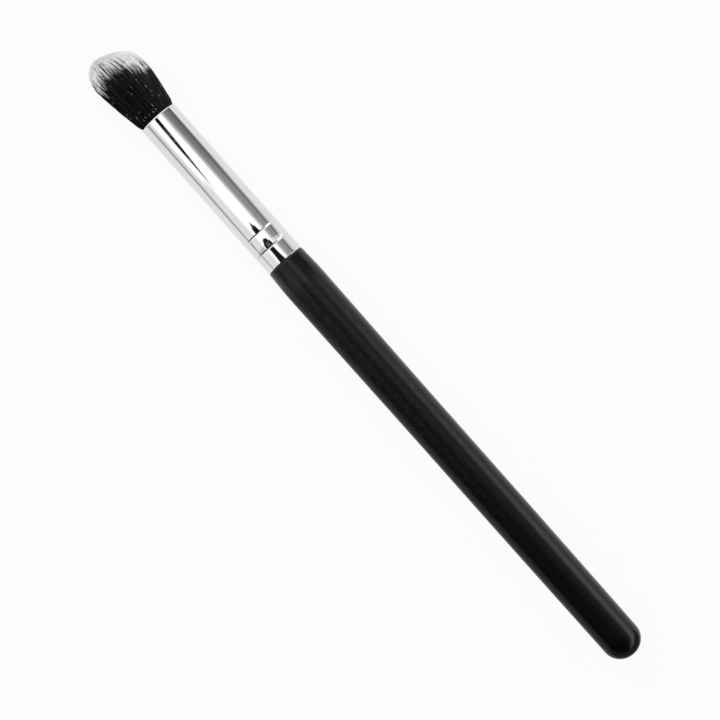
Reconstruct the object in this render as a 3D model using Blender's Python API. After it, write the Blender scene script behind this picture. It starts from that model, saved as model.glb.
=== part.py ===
"""Round makeup brush with a lacquered wooden handle, a crimped metal ferrule and a two-colour tuft.

Run it with blender --background --python part.py, or from Blender's text editor.
Lengths are in metres. Each piece is turned about the brush's own axis, which runs along +X from
the butt to the tip. An empty carries them all and leans that axis a little, so that the brush lies
on the plane Z = 0 on its butt and on the belly of its tuft, as it does on a table.
"""

import math
import random

import bmesh
import bpy
from mathutils import Vector

# What keeps neighbouring pieces apart
CLEARANCE = 0.0003
MERGE_DISTANCE = 0.000001
ROUND_SIDES = 40
SMOOTH_ANGLE = math.radians(35)

# Handle, from its butt to the shoulder that meets the ferrule
BUTT_DIAMETER = 0.0087
GRIP_DIAMETER = 0.0090
BELLY_DIAMETER = 0.00944
SHOULDER_DIAMETER = 0.0090
BUTT_ROUND = 0.0041
LOWER_GRIP_LENGTH = 0.0479
UPPER_GRIP_LENGTH = 0.0516
SHOULDER_LENGTH = 0.0071
BUTT_STEPS = 7
GRIP_STEPS = 5
SHOULDER_STEPS = 4

# Ferrule, from its rear rim to its mouth
FERRULE_DIAMETER = 0.0090
MOUTH_DIAMETER = 0.0091
FERRULE_LENGTH = 0.0410
FERRULE_WALL = 0.00035
FIRST_CRIMP = 0.0040
CRIMP_PITCH = 0.0039
CRIMP_WIDTH = 0.0005
CRIMP_DEPTH = 0.0001
BAND_SWELL = 0.00003
LIP_LENGTH = 0.0006
LIP_SWELL = 0.00006
CRIMP_STEPS = 4

# Tenon of the handle inside the ferrule, with the recess that holds its glue
GLUE_SETBACK = 0.0017
GLUE_LENGTH = 0.0050
GLUE_THICKNESS = 0.0003
TENON_LAND = 0.0033
TENON_CHAMFER = 0.0006

# Glue behind the roots of the hair, and the thread that ties them
AIR_GAP = 0.0025
ROOT_GLUE_LENGTH = 0.0035
THREAD_SETBACK = 0.0012
THREAD_WIDTH = 0.0012
THREAD_THICKNESS = 0.0002
TIED_LAYER = 0.00025

# Tuft, from the ferrule's mouth to its tip
ROOT_PROUD = 0.0002
NECK_HEIGHT = 0.0016
NECK_DIAMETER = 0.0095
TUFT_DIAMETER = 0.0121
BLACK_LENGTH = 0.0100
BLACK_CROWN = 0.0022
WHITE_REACH = 0.0058
CROWN_LEAN = 0.0014
TABLE_FLAT_DEPTH = 0.0005
TAPER_START_SHARE = 0.9
CROWN_EDGE_SHARE = 0.95
CROWN_TILT_SHARE = 0.12
RAGGED_SHARE = 0.3
STRAND_WIDTH_SHARES = (0.8, 0.6, 0.5)
WHITE_RINGS = 8
ALL_RINGS = 11
HAIR_SEED = 7

# Sizes that follow from the ones above
HANDLE_LENGTH = BUTT_ROUND + LOWER_GRIP_LENGTH + UPPER_GRIP_LENGTH + SHOULDER_LENGTH
FERRULE_START = HANDLE_LENGTH + CLEARANCE
MOUTH = FERRULE_START + FERRULE_LENGTH
BORE_RADIUS = FERRULE_DIAMETER / 2 - FERRULE_WALL
PACKED_RADIUS = BORE_RADIUS - CLEARANCE
SECOND_CRIMP = FIRST_CRIMP + CRIMP_PITCH
GLUE_START = SECOND_CRIMP + GLUE_SETBACK
GLUE_END = GLUE_START + GLUE_LENGTH
TENON_END = GLUE_END + TENON_LAND
ROOT_GLUE_START = TENON_END + AIR_GAP
HAIR_ROOT = ROOT_GLUE_START + ROOT_GLUE_LENGTH + CLEARANCE
THREAD_START = HAIR_ROOT + THREAD_SETBACK
THREAD_INNER_RADIUS = PACKED_RADIUS - THREAD_THICKNESS
TIED_RADIUS = THREAD_INNER_RADIUS - CLEARANCE
BLACK_INNER_RADIUS = TIED_RADIUS - TIED_LAYER
WHITE_RADIUS = BLACK_INNER_RADIUS - CLEARANCE
BLACK_TOP = BLACK_LENGTH + BLACK_CROWN
TUFT_LENGTH = BLACK_TOP + WHITE_REACH
FLAT_DISTANCE = TUFT_DIAMETER / 2 - TABLE_FLAT_DEPTH

# Heights above the mouth where the hairs bend, each with the tuft's radius there
# and the root radius whose hairs lie on that outline
HAIR_LEVELS = (
    (NECK_HEIGHT, NECK_DIAMETER / 2, PACKED_RADIUS),
    (BLACK_LENGTH * TAPER_START_SHARE, TUFT_DIAMETER / 2, PACKED_RADIUS),
    (BLACK_TOP, TUFT_DIAMETER / 2, (WHITE_RADIUS + BLACK_INNER_RADIUS) / 2),
)


def clear_scene():
    for old in list(bpy.data.objects):
        bpy.data.objects.remove(old, do_unlink=True)


def finish(name, colour, roughness, metallic=0.0):
    """A material with one plain finish."""
    made = bpy.data.materials.new(name)
    made.use_nodes = True
    shader = made.node_tree.nodes["Principled BSDF"]
    shader.inputs["Base Color"].default_value = (*colour, 1.0)
    shader.inputs["Roughness"].default_value = roughness
    shader.inputs["Metallic"].default_value = metallic
    made.diffuse_color = (*colour, 1.0)
    return made


def object_from(bm, name, surface, carrier, start):
    """Closes the work on a mesh: normals out, smooth shading, and its place on the brush's axis."""
    bmesh.ops.recalc_face_normals(bm, faces=bm.faces[:])
    mesh = bpy.data.meshes.new(name)
    bm.to_mesh(mesh)
    bm.free()
    mesh.shade_smooth()
    mesh.set_sharp_from_angle(angle=SMOOTH_ANGLE)
    mesh.materials.append(surface)
    made = bpy.data.objects.new(name, mesh)
    bpy.context.collection.objects.link(made)
    made.parent = carrier
    made.location.x = start
    return made


def turned(outline, name, surface, carrier, start):
    """Turns an outline of (place along the axis, radius) points. A closed one repeats its first point."""
    bm = bmesh.new()
    half_facet = math.pi / ROUND_SIDES
    across = Vector((0, math.sin(half_facet), -math.cos(half_facet)))
    points = [bm.verts.new(Vector((along, 0, 0)) + across * radius) for along, radius in outline]
    edges = [bm.edges.new(pair) for pair in zip(points, points[1:])]
    bmesh.ops.spin(
        bm,
        geom=points + edges,
        cent=(0, 0, 0),
        axis=(1, 0, 0),
        angle=math.tau,
        steps=ROUND_SIDES,
        use_merge=True,
    )
    bmesh.ops.remove_doubles(bm, verts=bm.verts[:], dist=MERGE_DISTANCE)
    return object_from(bm, name, surface, carrier, start)


def ease_in(share):
    return 1 - math.cos(math.pi / 2 * share)


def ease_out(share):
    return math.sin(math.pi / 2 * share)


def stretch(start, end, steps, ease):
    """Points after start and up to end, evenly spaced along the axis, with an eased radius."""
    shares = [(step + 1) / steps for step in range(steps)]
    return [
        (start[0] + (end[0] - start[0]) * share, start[1] + (end[1] - start[1]) * ease(share))
        for share in shares
    ]


def crimp(centre, radius):
    """The rolled groove round a tube of this radius."""
    shares = [step / CRIMP_STEPS for step in range(CRIMP_STEPS + 1)]
    return [
        (centre + CRIMP_WIDTH * (share - 1 / 2), radius - CRIMP_DEPTH * math.sin(math.pi * share))
        for share in shares
    ]


def handle_outside():
    """From the pole of the butt, over the grip and its belly, to the shoulder."""
    turns = [math.pi / 2 * step / BUTT_STEPS for step in range(BUTT_STEPS + 1)]
    butt_radius = BUTT_DIAMETER / 2
    butt = [(BUTT_ROUND * (1 - math.cos(t)), butt_radius * math.sin(t)) for t in turns]
    middle = (BUTT_ROUND + LOWER_GRIP_LENGTH, GRIP_DIAMETER / 2)
    belly = (middle[0] + UPPER_GRIP_LENGTH, BELLY_DIAMETER / 2)
    shoulder = (HANDLE_LENGTH, SHOULDER_DIAMETER / 2)
    lower = stretch(butt[-1], middle, GRIP_STEPS, ease_out)
    upper = stretch(middle, belly, GRIP_STEPS, ease_in)
    rounding = stretch(belly, shoulder, SHOULDER_STEPS, ease_in)
    return butt + lower + upper + rounding


def tenon():
    """The part of the handle that the ferrule is crimped and glued on, up to the axis."""
    recess_radius = PACKED_RADIUS - GLUE_THICKNESS - CLEARANCE
    in_ferrule = [
        (-CLEARANCE, PACKED_RADIUS),
        *crimp(FIRST_CRIMP, PACKED_RADIUS),
        *crimp(SECOND_CRIMP, PACKED_RADIUS),
        (GLUE_START - CLEARANCE, PACKED_RADIUS),
        (GLUE_START - CLEARANCE, recess_radius),
        (GLUE_END + CLEARANCE, recess_radius),
        (GLUE_END + CLEARANCE, PACKED_RADIUS),
        (TENON_END - TENON_CHAMFER, PACKED_RADIUS),
        (TENON_END, PACKED_RADIUS - TENON_CHAMFER),
        (TENON_END, 0),
    ]
    return [(FERRULE_START + along, radius) for along, radius in in_ferrule]


def make_handle(carrier):
    lacquer = finish("black_lacquer", (0.012, 0.012, 0.013), 0.32)
    return turned(handle_outside() + tenon(), "handle", lacquer, carrier, 0)


def make_ferrule(carrier):
    """A drawn tube with two rolled crimps, a faint swell between them and a lip round its mouth."""
    radius = FERRULE_DIAMETER / 2
    mouth_radius = MOUTH_DIAMETER / 2
    band_middle = (FIRST_CRIMP + SECOND_CRIMP) / 2
    outside = [
        (0, radius),
        *crimp(FIRST_CRIMP, radius),
        (band_middle, radius + BAND_SWELL),
        *crimp(SECOND_CRIMP, radius),
        (FERRULE_LENGTH - LIP_LENGTH, mouth_radius),
        (FERRULE_LENGTH - LIP_LENGTH / 2, mouth_radius + LIP_SWELL),
        (FERRULE_LENGTH, mouth_radius),
    ]
    inside = [
        (0, BORE_RADIUS),
        *crimp(FIRST_CRIMP, BORE_RADIUS),
        *crimp(SECOND_CRIMP, BORE_RADIUS),
        (FERRULE_LENGTH, mouth_radius - FERRULE_WALL),
    ]
    outline = outside + inside[::-1] + outside[:1]
    steel = finish("mirror_metal", (0.86, 0.86, 0.87), 0.06, metallic=1.0)
    return turned(outline, "ferrule", steel, carrier, FERRULE_START)


def make_sleeve(name, surface, carrier, start, length, inner_radius, outer_radius):
    """A plain ring, placed from the ferrule's rear rim."""
    outline = [
        (0, inner_radius),
        (0, outer_radius),
        (length, outer_radius),
        (length, inner_radius),
        (0, inner_radius),
    ]
    return turned(outline, name, surface, carrier, FERRULE_START + start)


def make_root_glue(carrier, glue):
    """The plug that seals the roots of the hair."""
    outline = [(0, 0), (0, PACKED_RADIUS), (ROOT_GLUE_LENGTH, PACKED_RADIUS), (ROOT_GLUE_LENGTH, 0)]
    return turned(outline, "root_glue", glue, carrier, FERRULE_START + ROOT_GLUE_START)


def ring_of(cell):
    """Which hexagonal ring of the triangular lattice a point lies on."""
    return max(abs(cell[0]), abs(cell[1]), abs(cell[0] + cell[1]))


def lattice_cells(first_ring, last_ring):
    """The lattice's triangles between two rings: those that carry a strand, and those between them."""
    span = range(-last_ring, last_ring + 1)
    corners = [(a, b) for a in span for b in span]
    feet = [((a, b), (a + 1, b), (a, b + 1)) for a, b in corners]
    gaps = [((a + 1, b), (a + 1, b + 1), (a, b + 1)) for a, b in corners]

    def kept(triangles):
        return [t for t in triangles if all(first_ring <= ring_of(cell) <= last_ring for cell in t)]

    return kept(feet), kept(gaps)


def root_place(cell, first_ring, last_ring, inner_radius, outer_radius):
    """Where a lattice point lies across the packed hair, with the lattice's rings drawn round."""
    flat = Vector((0, cell[0] + cell[1] * math.cos(math.pi / 3), cell[1] * math.sin(math.pi / 3)))
    share = (ring_of(cell) - first_ring) / (last_ring - first_ring)
    return flat.normalized() * (inner_radius + (outer_radius - inner_radius) * share)


def hair_place(root, level):
    """Where the hair from this root passes at a level, kept off the table on the underside."""
    height, outline, edge = HAIR_LEVELS[level]
    direction = root.normalized()
    if -direction.z * outline > FLAT_DISTANCE:
        outline = FLAT_DISTANCE / -direction.z
    return Vector((height, 0, 0)) + direction * outline * min(root.length / edge, 1)


def middle_of(points):
    return sum(points, Vector()) / len(points)


def strand_rings(roots, levels):
    """The strand's three corners at each level, drawn in so that it stands clear of its neighbours."""
    rings = []
    for level in range(levels):
        corners = [hair_place(root, level) for root in roots]
        centre = middle_of(corners)
        rings.append([centre.lerp(corner, STRAND_WIDTH_SHARES[level]) for corner in corners])
    return rings


def black_tip(root, ragged):
    """Black hairs end below the white ones: the outer ones lowest, so that they make a crown."""
    lower, upper = HAIR_LEVELS[1][0], HAIR_LEVELS[2][0]
    across = (root.length - BLACK_INNER_RADIUS) / (PACKED_RADIUS - BLACK_INNER_RADIUS)
    full = BLACK_LENGTH + BLACK_CROWN * (1 - across)
    share = (full - lower) / (upper - lower) * ragged
    return hair_place(root, 1).lerp(hair_place(root, 2), share)


def white_tip(root, ragged):
    """White hairs rise above the black ones to a rounded crown that leans towards +Y."""
    across = CROWN_EDGE_SHARE * root.length / WHITE_RADIUS
    crown = math.sqrt(1 - across**2) + CROWN_TILT_SHARE * root.y / WHITE_RADIUS
    share = crown * ragged
    return hair_place(root, 2) + Vector((WHITE_REACH, CROWN_LEAN, 0)) * share


def join_rings(bm, below, above):
    """A wall of quads between two rings of as many points."""
    for step, point in enumerate(below):
        after = (step + 1) % len(below)
        bm.faces.new((point, below[after], above[after], above[step]))


def grow_strand(bm, foot, rings, tip):
    """One three-sided strand, from its foot on the packed hair to its point."""
    below = foot
    for ring in rings:
        above = [bm.verts.new(place) for place in ring]
        join_rings(bm, below, above)
        below = above
    point = bm.verts.new(tip)
    for step, corner in enumerate(below):
        bm.faces.new((corner, below[(step + 1) % len(below)], point))


def drop_wall(bm, rim, stations):
    """Carries a rim down through (place along the axis, radius) stations and returns its last ring."""
    above = rim
    for along, radius in stations:
        below = [bm.verts.new(Vector((along, *(p.co.yz.normalized() * radius)))) for p in rim]
        join_rings(bm, below, above)
        above = below
    return above


def make_hair(name, surface, carrier, rings, radii, levels, tip_of, walls):
    """Strands that stand on a slice of the hair packed in the ferrule, all one solid."""
    bm = bmesh.new()
    feet, gaps = lattice_cells(*rings)
    roots = {cell: root_place(cell, *rings, *radii) for cell in {c for foot in feet + gaps for c in foot}}
    top = Vector((ROOT_PROUD, 0, 0))
    points = {cell: bm.verts.new(root + top) for cell, root in sorted(roots.items())}
    for gap in gaps:
        bm.faces.new([points[cell] for cell in gap])
    ragged = random.Random(HAIR_SEED)
    for foot in feet:
        own_roots = [roots[cell] for cell in foot]
        tip = tip_of(middle_of(own_roots), 1 - RAGGED_SHARE * ragged.random())
        grow_strand(bm, [points[cell] for cell in foot], strand_rings(own_roots, levels), tip)
    for ring, stations in walls:
        rim = [points[cell] for cell in roots if ring_of(cell) == ring]
        rim.sort(key=lambda point: math.atan2(point.co.z, point.co.y))
        drop_wall(bm, rim, stations)
    open_edges = [edge for edge in bm.edges if edge.is_boundary]
    bmesh.ops.triangle_fill(bm, use_beauty=True, edges=open_edges)
    return object_from(bm, name, surface, carrier, MOUTH)


def make_black_bristles(carrier):
    """The shorter outer layer, drawn in at its root by the thread."""
    black = finish("black_fibre", (0.010, 0.010, 0.011), 0.45)
    root = HAIR_ROOT - FERRULE_LENGTH
    tie_back = THREAD_START - CLEARANCE - FERRULE_LENGTH
    tie_front = THREAD_START + THREAD_WIDTH + CLEARANCE - FERRULE_LENGTH
    outside = (
        (tie_front, PACKED_RADIUS),
        (tie_front, TIED_RADIUS),
        (tie_back, TIED_RADIUS),
        (tie_back, PACKED_RADIUS),
        (root, PACKED_RADIUS),
    )
    inside = ((root, BLACK_INNER_RADIUS),)
    return make_hair(
        "black_bristles",
        black,
        carrier,
        rings=(WHITE_RINGS, ALL_RINGS),
        radii=(BLACK_INNER_RADIUS, PACKED_RADIUS),
        levels=2,
        tip_of=black_tip,
        walls=((ALL_RINGS, outside), (WHITE_RINGS, inside)),
    )


def make_white_bristles(carrier):
    """The longer core, whose tips make the pale crown."""
    white = finish("white_fibre", (0.80, 0.80, 0.79), 0.5)
    root = HAIR_ROOT - FERRULE_LENGTH
    return make_hair(
        "white_bristles",
        white,
        carrier,
        rings=(0, WHITE_RINGS),
        radii=(0, WHITE_RADIUS),
        levels=3,
        tip_of=white_tip,
        walls=((WHITE_RINGS, ((root, WHITE_RADIUS),)),),
    )


def make_carrier():
    """The brush's axis as it lies: the butt's lowest edge and the tuft's flat both meet Z = 0."""
    butt_drop = BUTT_DIAMETER / 2 * math.cos(math.pi / ROUND_SIDES)
    tuft_place = MOUTH + HAIR_LEVELS[1][0]
    lean = math.atan2(FLAT_DISTANCE - butt_drop, tuft_place - BUTT_ROUND)
    carrier = bpy.data.objects.new("brush_axis", None)
    bpy.context.collection.objects.link(carrier)
    carrier.rotation_euler.y = -lean
    carrier.location.x = -(MOUTH + TUFT_LENGTH) / 2 * math.cos(lean)
    carrier.location.z = butt_drop * math.cos(lean) - BUTT_ROUND * math.sin(lean)
    return carrier


def main():
    clear_scene()
    carrier = make_carrier()
    glue = finish("clear_glue", (0.75, 0.66, 0.42), 0.3)
    thread = finish("binding_thread", (0.70, 0.68, 0.62), 0.8)
    make_handle(carrier)
    make_ferrule(carrier)
    make_sleeve(
        "handle_glue",
        glue,
        carrier,
        GLUE_START,
        GLUE_LENGTH,
        PACKED_RADIUS - GLUE_THICKNESS,
        PACKED_RADIUS,
    )
    make_root_glue(carrier, glue)
    make_sleeve(
        "binding_thread",
        thread,
        carrier,
        THREAD_START,
        THREAD_WIDTH,
        THREAD_INNER_RADIUS,
        PACKED_RADIUS,
    )
    make_black_bristles(carrier)
    make_white_bristles(carrier)


main()
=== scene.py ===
# %% [markdown]
# A round makeup brush, dressed
#
# The construction of the brush is already there as plain solids: a handle, a ferrule, some glue,
# a tie and two bundles of coarse bristles. This lesson dresses them. It loads the solids as a
# fixed frame, reads the brush's own axis from them, and models the pieces that show again with a
# smooth surface: the lacquered handle, the drawn ferrule and nearly 18,000 fine hairs. Then it
# makes the finishes from nodes, and ends with the floor, the studio and the camera.

# %% Load the frame
import math

import bpy
import numpy as np
from mathutils import Matrix, Vector


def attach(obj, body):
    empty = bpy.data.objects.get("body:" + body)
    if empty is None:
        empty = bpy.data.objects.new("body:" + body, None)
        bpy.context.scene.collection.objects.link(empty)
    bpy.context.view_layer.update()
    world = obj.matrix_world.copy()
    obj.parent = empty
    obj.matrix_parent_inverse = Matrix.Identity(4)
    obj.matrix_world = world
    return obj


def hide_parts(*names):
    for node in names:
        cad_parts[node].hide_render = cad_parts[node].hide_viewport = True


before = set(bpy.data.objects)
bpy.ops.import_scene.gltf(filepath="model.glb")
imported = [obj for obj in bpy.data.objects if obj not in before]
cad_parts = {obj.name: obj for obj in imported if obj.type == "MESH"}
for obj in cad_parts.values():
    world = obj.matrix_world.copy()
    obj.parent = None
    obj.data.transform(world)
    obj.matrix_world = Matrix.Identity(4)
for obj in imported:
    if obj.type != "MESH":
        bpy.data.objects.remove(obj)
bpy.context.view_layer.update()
MM = 0.001
print("pieces of the frame:", sorted(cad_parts))

# %% [markdown]
# A brush is turned, so nearly everything on it is easiest to say as a place along its axis and a
# distance from it. The axis isn't level: the brush lies on its butt and on the belly of its tuft.
# The angle could be typed in again, but then it could be wrong, so it is read from the ferrule,
# whose points lie evenly round the axis. Their mean is on it, and their longest direction is it.

# %% Read the axis and what each solid takes up of it
def points_of(node):
    own = np.array([vertex.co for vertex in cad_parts[node].data.vertices])
    return np.unique(np.round(own, 7), axis=0)


tube_points = points_of("ferrule")
axis_point = tube_points.mean(axis=0)
longest = np.linalg.svd(tube_points - axis_point, full_matrices=False)[2][0]
axis = longest * np.sign(longest[0])
axis_point = axis_point + axis * ((points_of("handle") - axis_point) @ axis).min()


def span_of(node):
    """Where a solid starts and ends along the axis, and its least and greatest distance from it."""
    offset = points_of(node) - axis_point
    along = offset @ axis
    away = np.linalg.norm(offset - np.outer(along, axis), axis=1)
    return along.min(), along.max(), away.min(), away.max()


rear_rim, mouth, bore_radius, _ = span_of("ferrule")
handle_offset = points_of("handle") - axis_point
well_inside = rear_rim + (mouth - rear_rim) / 4
in_tube = handle_offset[handle_offset @ axis > well_inside]
tenon_radius = np.linalg.norm(in_tube - np.outer(in_tube @ axis, axis), axis=1).max()
sideways = Vector((0, 1, 0))
brush_frame = Matrix.Translation(Vector(axis_point)) @ Matrix(
    (Vector(axis), sideways, Vector(axis).cross(sideways))
).transposed().to_4x4()
print(f"lean {math.degrees(math.asin(axis[2])):.2f} degrees, mouth {mouth / MM:.1f} mm from the butt")

# %% [markdown]
# Operators act on whatever is selected, as they would under the mouse, so each piece starts from
# an empty selection. A small set of helpers keeps the steps readable: one that begins a piece, one
# that picks the points at a place along the axis, and one that ends the piece by laying it down
# from the straight X axis, on which it is modelled, to the brush's own leaning one.

# %% Helpers for modelling
def deselect_all():
    bpy.ops.object.select_all(action="DESELECT")


def select_points(mesh_object, picked):
    """In edit mode: selects the points whose place passes the test."""
    bpy.ops.mesh.select_mode(type="VERT")
    bpy.ops.mesh.select_all(action="DESELECT")
    bpy.ops.object.mode_set(mode="OBJECT")
    for vertex in mesh_object.data.vertices:
        vertex.select = picked(vertex.co)
    bpy.ops.object.mode_set(mode="EDIT")


def lay_down(piece):
    """Moves a finished piece from the X axis to the brush's axis, with its place in its mesh."""
    piece.data.transform(brush_frame)
    piece.data.update()
    return piece


print(f"at the butt the axis lies {brush_frame.translation.z / MM:.2f} mm over the table")

# %% [markdown]
# A turned piece could be spun from a drawn outline. Here it is built as a turner would feel it,
# from one end to the other: a circle is added at the first station, then extruded to the next one
# and resized there, again and again. The rings stay where they were put, which matters for a
# mirror: a reflection shows every ring that is out of step. A helper spaces the stations with an
# ease, so that a stretch leaves or meets its neighbour without a corner.

# %% Turned pieces
RING_SIDES = 128
QUARTER = math.pi / 2


def eased(start, end, steps, ease):
    """Stations after start and up to end, each a place along the axis and a radius."""
    length = end[0] - start[0]
    growth = end[1] - start[1]
    shares = [(step + 1) / steps for step in range(steps)]
    return [(start[0] + length * share, start[1] + growth * ease(share)) for share in shares]


def slow_start(share):
    return 1 - math.cos(QUARTER * share)


def slow_end(share):
    return math.sin(QUARTER * share)


def turn(name, stations):
    """A tube of rings through the stations, left in edit mode with its last ring selected."""
    deselect_all()
    place, radius = stations[0]
    bpy.ops.mesh.primitive_circle_add(
        vertices=RING_SIDES,
        radius=radius,
        fill_type="NOTHING",
        location=(place, 0, 0),
        rotation=(0, QUARTER, 0),
    )
    piece = bpy.context.object
    piece.name = name
    bpy.ops.object.transform_apply(location=True, rotation=True, scale=True)
    bpy.ops.object.mode_set(mode="EDIT")
    bpy.ops.mesh.select_all(action="SELECT")
    for (last_place, last_radius), (place, radius) in zip(stations, stations[1:]):
        bpy.ops.mesh.extrude_region_move(
            TRANSFORM_OT_translate={"value": (place - last_place, 0, 0)}
        )
        growth = radius / last_radius
        bpy.ops.transform.resize(value=(1, growth, growth), center_override=(place, 0, 0))
    return piece


def finish_turning(piece, sharp_degrees):
    bpy.ops.mesh.select_all(action="SELECT")
    bpy.ops.mesh.normals_make_consistent(inside=False)
    bpy.ops.object.mode_set(mode="OBJECT")
    deselect_all()
    piece.select_set(True)
    bpy.context.view_layer.objects.active = piece
    bpy.ops.object.shade_smooth_by_angle(angle=math.radians(sharp_degrees))
    return lay_down(piece)


print("turned pieces have rings of", RING_SIDES, "points")

# %% [markdown]
# The handle is one piece of wood under black lacquer. Its butt is almost a half ball, the grip
# swells a little towards the ferrule, and a short rounded shoulder brings it down to the tube's
# own width. Behind the shoulder a tenon runs into the tube, with the recess that holds its glue.
# The outline is written from the tenon to the butt, so that the turning can end in a point there.

# %% Handle
BUTT_RADIUS = 4.35 * MM
GRIP_RADIUS = 4.5 * MM
BELLY_RADIUS = 4.72 * MM
SHOULDER_RADIUS = 4.5 * MM
BUTT_ROUND = 4.1 * MM
GRIP_PLACE = 52.0 * MM
SHOULDER_LENGTH = 7.1 * MM
SHOULDER_EDGE = 0.12 * MM
JOINT_GAP = 0.04 * MM
TENON_CHAMFER = 0.6 * MM
BUTT_RINGS = 24
BUTT_POINT = BUTT_ROUND / 500


def tenon_stations():
    glue_start, glue_end, glue_inner, _ = span_of("handle_glue")
    tenon_end = span_of("handle")[1]
    gap = bore_radius - tenon_radius
    return [
        (tenon_end, tenon_radius - TENON_CHAMFER),
        (tenon_end - TENON_CHAMFER, tenon_radius),
        (glue_end + gap, tenon_radius),
        (glue_end + gap, glue_inner - gap),
        (glue_start - gap, glue_inner - gap),
        (glue_start - gap, tenon_radius),
        (rear_rim - JOINT_GAP, tenon_radius),
    ]


def handle_stations():
    shoulder = (rear_rim - JOINT_GAP, SHOULDER_RADIUS - SHOULDER_EDGE)
    edge = (shoulder[0] - SHOULDER_EDGE, SHOULDER_RADIUS)
    belly = (shoulder[0] - SHOULDER_LENGTH, BELLY_RADIUS)
    grip = (GRIP_PLACE, GRIP_RADIUS)
    butt = (BUTT_ROUND, BUTT_RADIUS)
    turns = [QUARTER * ring / BUTT_RINGS for ring in range(BUTT_RINGS - 1, 0, -1)]
    end = [(BUTT_ROUND * (1 - math.cos(t)), BUTT_RADIUS * math.sin(t)) for t in turns]
    return [
        *tenon_stations(),
        shoulder,
        *eased(shoulder, edge, steps=4, ease=slow_end),
        *eased(edge, belly, steps=14, ease=slow_end),
        *eased(belly, grip, steps=30, ease=slow_end),
        *eased(grip, butt, steps=24, ease=slow_start),
        *end,
    ]


def make_handle():
    piece = turn("lacquered_handle", handle_stations())
    bpy.ops.mesh.extrude_region_move(TRANSFORM_OT_translate={"value": (-BUTT_POINT, 0, 0)})
    bpy.ops.mesh.merge(type="CENTER")
    near_tenon_end = span_of("handle")[1] - TENON_CHAMFER / 2
    select_points(piece, lambda place: place.x > near_tenon_end)
    bpy.ops.mesh.edge_face_add()
    return finish_turning(piece, sharp_degrees=50)


handle = make_handle()
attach(handle, "root")
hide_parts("handle")
print("handle:", len(handle.data.polygons), "faces")

# %% [markdown]
# The ferrule is a drawn metal tube, polished to a mirror. Two narrow crimps are rolled into it
# near its rear rim, with a faint swell between them, and its mouth is turned over to a small lip.
# The outside is written from the rear rim to the mouth, the lip rolls over in an oval bead, and the
# bore runs back. The two rims at the rear are then bridged. Rings stand close together all along,
# because on a mirror a long face next to a short one shows.

# %% Ferrule
TUBE_RADIUS = 4.5 * MM
MOUTH_RADIUS = 4.55 * MM
TUBE_WALL = 0.35 * MM
FIRST_CRIMP = 4.0 * MM
CRIMP_PITCH = 3.9 * MM
CRIMP_HALF_WIDTH = 0.22 * MM
CRIMP_DEPTH = 0.06 * MM
SHOULDER_DRAW = 0.0052 * MM
REAR_SHOULDER_DRAW = 0.0012 * MM
SHOULDER_REACH = 1.2 * MM
BAND_SWELL = 0.008 * MM
LIP_LENGTH = 0.7 * MM
LIP_ROUND = 0.3 * MM
RIM_ROUND = 0.05 * MM
RING_PITCH = 0.5 * MM
LEAST_RING_PITCH = 0.03 * MM
RINGS_BEFORE_CRIMP = 9
RINGS_IN_HALF_CRIMP = 6
LIP_RINGS = 8
RIM_RINGS = 6
RINGS_AFTER_RIM = 4
ROLL_RINGS = 16


def crimp_dip(place, centre):
    """How far a crimp draws the tube in at this place, from 0 to its full depth."""
    away = abs(place - centre) / CRIMP_HALF_WIDTH
    groove = (1 + math.cos(math.pi * away)) / 2 if away < 1 else 0
    return CRIMP_DEPTH * groove


def tube_outside(place):
    """The tube's radius at a place from its rear rim."""
    second = FIRST_CRIMP + CRIMP_PITCH
    radius = TUBE_RADIUS + (MOUTH_RADIUS - TUBE_RADIUS) * place / (mouth - rear_rim)
    radius -= crimp_dip(place, FIRST_CRIMP) + crimp_dip(place, second)
    if FIRST_CRIMP < place < second:
        return radius + BAND_SWELL * math.sin(math.pi * (place - FIRST_CRIMP) / CRIMP_PITCH)
    if place < FIRST_CRIMP:
        return radius - REAR_SHOULDER_DRAW * math.exp((place - FIRST_CRIMP) / SHOULDER_REACH)
    return radius - SHOULDER_DRAW * math.exp((second - place) / SHOULDER_REACH)


def outside_places():
    """Even rings, with closer ones through each crimp and the lip."""
    length = mouth - rear_rim
    even = list(np.arange(RING_PITCH, length - LIP_ROUND, RING_PITCH))
    rim = [RIM_ROUND * (1 + ring) for ring in range(RINGS_AFTER_RIM)]
    close = [
        centre + CRIMP_HALF_WIDTH * ring / RINGS_IN_HALF_CRIMP
        for centre in (FIRST_CRIMP, FIRST_CRIMP + CRIMP_PITCH)
        for ring in range(-RINGS_BEFORE_CRIMP, RINGS_BEFORE_CRIMP + 1)
    ]
    lip = [length - LIP_ROUND - LIP_LENGTH * ring / LIP_RINGS for ring in range(LIP_RINGS + 1)]
    places = sorted(rim + even + close + lip)
    kept = places[:1]
    for place in places[1:]:
        if place - kept[-1] > LEAST_RING_PITCH:
            kept.append(place)
    return kept


def ferrule_stations():
    places = outside_places()
    outside = [(rear_rim + place, tube_outside(place)) for place in places]
    turns = [QUARTER * ring / RIM_RINGS for ring in range(RIM_RINGS)]
    low = tube_outside(RIM_ROUND) - RIM_ROUND
    edge = [(rear_rim + RIM_ROUND * (1 - math.cos(t)), low + RIM_ROUND * math.sin(t)) for t in turns]
    roll = TUBE_WALL / 2
    centre = (mouth - LIP_ROUND, tube_outside(places[-1]) - roll)
    rolled = [math.pi * ring / ROLL_RINGS for ring in range(1, ROLL_RINGS + 1)]
    lip = [(centre[0] + LIP_ROUND * math.sin(t), centre[1] + roll * math.cos(t)) for t in rolled]
    bore_end = mouth - rear_rim - 2 * LIP_LENGTH
    every_third = [place for place in places[::-3] if place < bore_end]
    inner = [(rear_rim + place, tube_outside(place) - TUBE_WALL) for place in every_third]
    return edge + outside + lip + inner + [(rear_rim, TUBE_RADIUS - TUBE_WALL)]


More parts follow.
